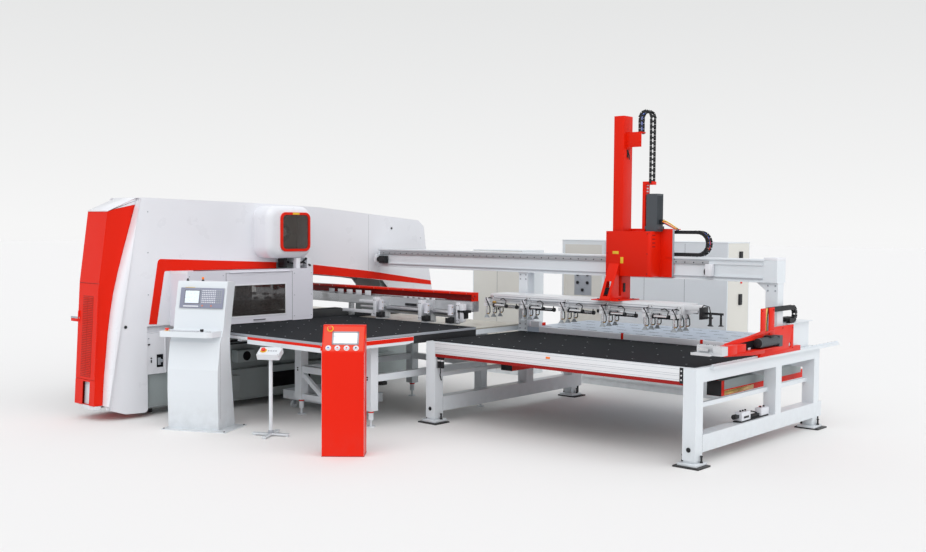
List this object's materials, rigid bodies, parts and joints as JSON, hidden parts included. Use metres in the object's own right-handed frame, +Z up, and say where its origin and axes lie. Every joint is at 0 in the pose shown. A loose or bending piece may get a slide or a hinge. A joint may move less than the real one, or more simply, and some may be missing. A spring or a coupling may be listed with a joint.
{
  "type": "hydraulic punching machine",
  "caption": "Closed-frame turret punch press with brush tables, a sheet clamp carriage, an operator console and a gantry suction loader over a stacking table.",
  "frame": {"origin": "on the floor under the punching centre, at the middle of the centre pad's underside", "axes": "+X along the loader away from the press, +Y from the console down the press to its far end, +Z up"},
  "size_m": [7.716, 6.548, 3.3619],
  "materials": {
    "white_paint": "satin",
    "red_paint": "satin",
    "base_paint": "satin",
    "frame_paint": "satin",
    "beige_paint": "satin",
    "beige_steel": "satin",
    "brush_black": "matt",
    "black_steel": "satin",
    "steel": "machined",
    "aluminium": "anodised",
    "smoked_glass": "smoked",
    "red_plastic": "gloss",
    "black_plastic": "matt",
    "white_plastic": "gloss",
    "grey_plastic": "satin",
    "motor_grey": "satin",
    "rubber_pale": "matt",
    "deck_blue": "satin"
  },
  "bodies": {
    "machine": {"press_frame": "base_paint", "levelling_feet": "black_steel", "front_cover": "white_paint", "rear_cover": "white_paint", "top_cover": "white_paint", "red_trim": "red_paint", "head_window": "smoked_glass", "head_cover": "white_paint", "hydraulic_cylinder": "steel", "turret_guard": "white_paint", "end_cabinet": "red_paint", "centre_table": "brush_black", "brush_tables": "brush_black", "deck_plates": "beige_steel", "table_frames": "frame_paint", "table_legs": "frame_paint", "y_rails": "steel", "console_body": "white_paint", "operator_displays": "grey_plastic", "pedestal_body": "red_paint", "button_stand": "white_paint", "loader_frame": "frame_paint", "loader_belts": "brush_black", "stack_deck": "deck_blue", "deck_beams": "red_paint", "gantry_frame": "frame_paint", "transfer_rail": "frame_paint", "electrical_cabinet": "beige_paint", "gantry_chain": "black_plastic", "transfer_chain": "black_plastic"},
    "ram": {"punch_ram": "steel"},
    "turret_top": {"upper_turret": "steel"},
    "turret_bottom": {"lower_turret": "steel"},
    "wheel": {"drive_wheel": "black_steel"},
    "lift_door": {"guard_door": "white_paint", "guard_window": "smoked_glass"},
    "end_door": {"end_cabinet_door": "red_paint"},
    "cross_beam": {"y_beam": "steel", "y_beam_cover": "red_paint"},
    "saddle": {"x_saddle": "aluminium", "clamp_bodies": "aluminium"},
    "jaws": {"clamp_jaws": "black_steel"},
    "stop_console": {"console_stop": "red_plastic"},
    "knob_console": {"console_knob": "black_plastic"},
    "stop_stand": {"stand_stop": "red_plastic"},
    "stop_pedestal": {"pedestal_stop": "red_plastic"},
    "button_1": {"pedestal_button_1": "white_plastic"},
    "button_2": {"pedestal_button_2": "white_plastic"},
    "button_3": {"pedestal_button_3": "white_plastic"},
    "button_4": {"pedestal_button_4": "white_plastic"},
    "carriage": {"loader_carriage": "red_paint", "carriage_motor": "motor_grey", "mast_chain": "black_plastic"},
    "lift": {"lift_mast": "red_paint", "suction_frame": "aluminium", "suction_cups": "rubber_pale"},
    "transfer": {"transfer_arm": "red_paint", "transfer_motor": "motor_grey", "transfer_gripper": "aluminium"},
    "switch_door": {"cabinet_door": "beige_paint"}
  },
  "joints": [
    {"name": "ram_stroke", "type": "slide", "parent": "machine", "child": "ram", "axis": [0, 0, 1], "range_m": [-0.035, 0]},
    {"name": "turret_turn", "type": "hinge", "parent": "machine", "child": "turret_top", "pos_m": [0, -0.5, 0], "axis": [0, 0, 1], "continuous": true},
    {"name": "turret_turn_lower", "type": "hinge", "parent": "machine", "child": "turret_bottom", "pos_m": [0, -0.5, 0], "axis": [0, 0, 1], "continuous": true},
    {"name": "wheel_turn", "type": "hinge", "parent": "machine", "child": "wheel", "pos_m": [0, -0.29, 2.026], "axis": [1, 0, 0], "continuous": true},
    {"name": "guard_door_lift", "type": "hinge", "parent": "machine", "child": "lift_door", "pos_m": [0.657, 0, 1.57], "axis": [0, -1, 0], "range_deg": [0, 85]},
    {"name": "end_door_swing", "type": "hinge", "parent": "machine", "child": "end_door", "pos_m": [0.206, -2.57398, 0.17057], "axis": [0, 0.0566, 0.9984], "range_deg": [0, 100]},
    {"name": "y_axis", "type": "slide", "parent": "machine", "child": "cross_beam", "axis": [0, 1, 0], "range_m": [-0.54, 0.63]},
    {"name": "x_axis", "type": "slide", "parent": "cross_beam", "child": "saddle", "axis": [1, 0, 0], "range_m": [-1.7, 0]},
    {"name": "clamp_open", "type": "hinge", "parent": "saddle", "child": "jaws", "pos_m": [0, 0.735, 1.04], "axis": [-1, 0, 0], "range_deg": [0, 12]},
    {"name": "console_stop_press", "type": "slide", "parent": "machine", "child": "stop_console", "axis": [0, 0, -1], "range_m": [0, 0.005], "stiffness_N_per_m": 400},
    {"name": "console_knob_turn", "type": "hinge", "parent": "machine", "child": "knob_console", "pos_m": [1.44848, -2.07668, 1.022], "axis": [0, 0, 1], "range_deg": [-120, 120]},
    {"name": "stand_stop_press", "type": "slide", "parent": "machine", "child": "stop_stand", "axis": [-0.2347, 0.4066, -0.8829], "range_m": [0, 0.005], "stiffness_N_per_m": 400},
    {"name": "pedestal_stop_press", "type": "slide", "parent": "machine", "child": "stop_pedestal", "axis": [-0.5778, 0.6647, -0.4737], "range_m": [0, 0.005], "stiffness_N_per_m": 400},
    {"name": "button_1_press", "type": "slide", "parent": "machine", "child": "button_1", "axis": [-0.5778, 0.6647, -0.4737], "range_m": [0, 0.003], "stiffness_N_per_m": 400},
    {"name": "button_2_press", "type": "slide", "parent": "machine", "child": "button_2", "axis": [-0.5778, 0.6647, -0.4737], "range_m": [0, 0.003], "stiffness_N_per_m": 400},
    {"name": "button_3_press", "type": "slide", "parent": "machine", "child": "button_3", "axis": [-0.5778, 0.6647, -0.4737], "range_m": [0, 0.003], "stiffness_N_per_m": 400},
    {"name": "button_4_press", "type": "slide", "parent": "machine", "child": "button_4", "axis": [-0.5778, 0.6647, -0.4737], "range_m": [0, 0.003], "stiffness_N_per_m": 400},
    {"name": "loader_travel", "type": "slide", "parent": "machine", "child": "carriage", "axis": [1, 0, 0], "range_m": [-1.9, 0.38], "deforming": ["gantry_chain"]},
    {"name": "mast_lift", "type": "slide", "parent": "carriage", "child": "lift", "axis": [0, 0, 1], "range_m": [-0.09, 0.2], "deforming": ["mast_chain"]},
    {"name": "transfer_travel", "type": "slide", "parent": "machine", "child": "transfer", "axis": [0, 1, 0], "range_m": [0, 0.35], "deforming": ["transfer_chain"]},
    {"name": "cabinet_door_swing", "type": "hinge", "parent": "machine", "child": "switch_door", "pos_m": [1.992, 3.39, 0], "axis": [0, 0, -1], "range_deg": [0, 100]}
  ],
  "couplings": [
    {"joint": "turret_turn_lower", "follows": "turret_turn", "ratio": 1}
  ]
}
